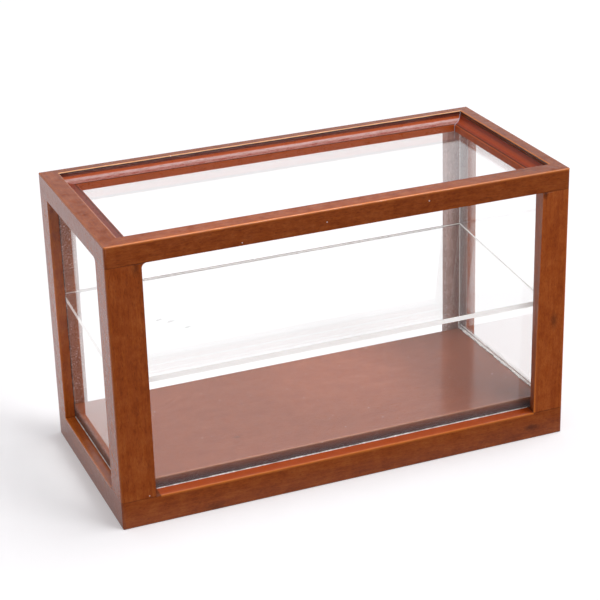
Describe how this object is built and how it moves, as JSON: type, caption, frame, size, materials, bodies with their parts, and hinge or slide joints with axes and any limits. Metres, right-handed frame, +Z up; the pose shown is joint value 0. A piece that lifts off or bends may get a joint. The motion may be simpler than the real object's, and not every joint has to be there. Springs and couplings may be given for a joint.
{
  "type": "counter display case",
  "caption": "Small display case: lacquered wooden frame, clear acrylic panes, a sloping clear shelf, a raised floor board and an open back, in dollhouse scale.",
  "frame": {"origin": "middle of the base, on the underside of the bottom frame", "axes": "+X along the length towards the viewer's right, +Z up, the glazed front faces -Y and the open back faces +Y"},
  "size_m": [0.125, 0.0584, 0.0762],
  "materials": {
    "frame_wood": "red-brown stain under thick clear lacquer, fine straight grain",
    "floor_wood": "red-brown stain under satin lacquer, fine straight grain, dusty",
    "shelf_acrylic": "clear acrylic sheet with pale cut edges",
    "pane_acrylic": "clear polished acrylic sheet, lightly scratched"
  },
  "bodies": {
    "root": {"top_rail_front": "frame_wood", "top_rail_back": "frame_wood", "top_rail_left": "frame_wood", "top_rail_right": "frame_wood", "post_front_left": "frame_wood", "post_front_right": "frame_wood", "post_rear_left": "frame_wood", "post_rear_right": "frame_wood", "bottom_rail_front": "frame_wood", "bottom_rail_back": "frame_wood", "bottom_rail_left": "frame_wood", "bottom_rail_right": "frame_wood", "floor_board": "floor_wood", "shelf": "shelf_acrylic", "top_pane": "pane_acrylic", "front_pane": "pane_acrylic", "left_pane": "pane_acrylic", "right_pane": "pane_acrylic"}
  },
  "joints": []
}
